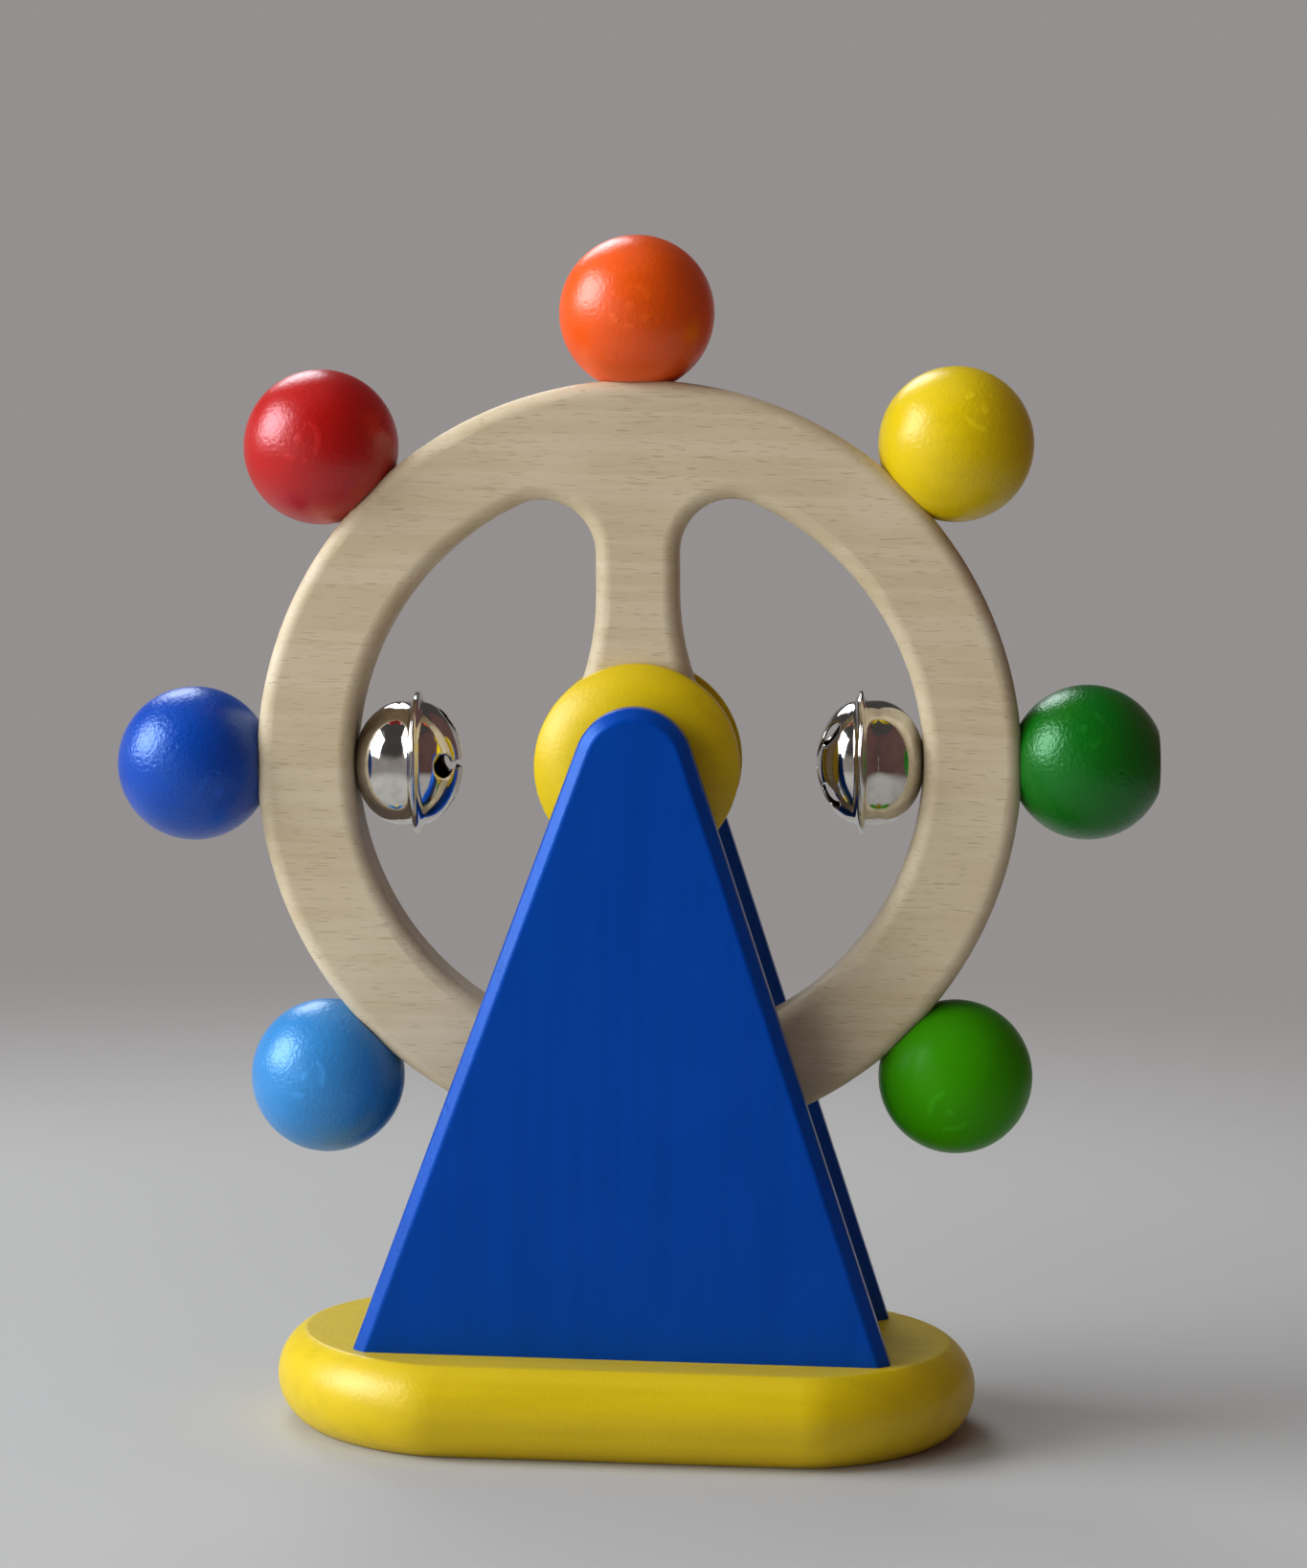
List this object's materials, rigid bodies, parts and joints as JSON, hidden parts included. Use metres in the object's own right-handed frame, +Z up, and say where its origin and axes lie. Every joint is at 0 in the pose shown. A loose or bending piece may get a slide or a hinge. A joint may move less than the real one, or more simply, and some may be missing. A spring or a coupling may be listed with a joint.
{
  "type": "ferris wheel toy",
  "caption": "Wooden ferris wheel rattle: a beech wheel with coloured balls and jingle bells turns on a dowel between two blue boards on a yellow base.",
  "frame": {"origin": "on the table, under the middle of the base plate and of the wheel", "axes": "+X to the right along the base plate, +Y from the front board to the rear board (parallel to the axle), +Z up"},
  "size_m": [0.1351, 0.0536, 0.1546],
  "materials": {
    "yellow_lacquered_wood": "satin lacquer",
    "blue_lacquered_wood": "satin lacquer, faint vertical grain",
    "waxed_beech": "sanded, short dark flecks",
    "dowel_wood": "raw turned dowel",
    "nickel_plated_steel": "bright plated",
    "steel": "plain",
    "dark_green_ball_lacquer": "satin lacquer",
    "yellow_ball_lacquer": "satin lacquer",
    "orange_ball_lacquer": "satin lacquer",
    "red_ball_lacquer": "satin lacquer",
    "blue_ball_lacquer": "satin lacquer",
    "light_blue_ball_lacquer": "satin lacquer",
    "turquoise_ball_lacquer": "satin lacquer",
    "light_green_ball_lacquer": "satin lacquer"
  },
  "bodies": {
    "stand": {"base_plate": "yellow_lacquered_wood", "front_support": "blue_lacquered_wood", "rear_support": "blue_lacquered_wood", "front_support_dowels": "dowel_wood", "rear_support_dowels": "dowel_wood", "axle": "dowel_wood"},
    "wheel": {"wheel_ring": "waxed_beech", "front_hub": "yellow_lacquered_wood", "rear_hub": "yellow_lacquered_wood", "ball_dark_green": "dark_green_ball_lacquer", "ball_yellow": "yellow_ball_lacquer", "ball_orange": "orange_ball_lacquer", "ball_red": "red_ball_lacquer", "ball_blue": "blue_ball_lacquer", "ball_light_blue": "light_blue_ball_lacquer", "ball_turquoise": "turquoise_ball_lacquer", "ball_light_green": "light_green_ball_lacquer", "dowel_dark_green": "dowel_wood", "dowel_yellow": "dowel_wood", "dowel_orange": "dowel_wood", "dowel_red": "dowel_wood", "dowel_blue": "dowel_wood", "dowel_light_blue": "dowel_wood", "dowel_turquoise": "dowel_wood", "dowel_light_green": "dowel_wood", "right_bell_back_cup": "nickel_plated_steel", "right_bell_front_cup": "nickel_plated_steel", "right_bell_stud": "steel", "left_bell_back_cup": "nickel_plated_steel", "left_bell_front_cup": "nickel_plated_steel", "left_bell_stud": "steel"},
    "right_pellet": {"right_bell_pellet": "steel"},
    "left_pellet": {"left_bell_pellet": "steel"}
  },
  "joints": [
    {"name": "wheel_spin", "type": "hinge", "parent": "stand", "child": "wheel", "pos_m": [0, 0, 0.08665], "axis": [0, -1, 0], "continuous": true},
    {"name": "right_pellet_roll", "type": "hinge", "parent": "wheel", "child": "right_pellet", "pos_m": [0.02871, 0, 0.0874], "axis": [0.9997, 0, 0.0262], "continuous": true},
    {"name": "left_pellet_roll", "type": "hinge", "parent": "wheel", "child": "left_pellet", "pos_m": [-0.02871, 0, 0.0859], "axis": [0.9997, 0, 0.0262], "continuous": true}
  ]
}
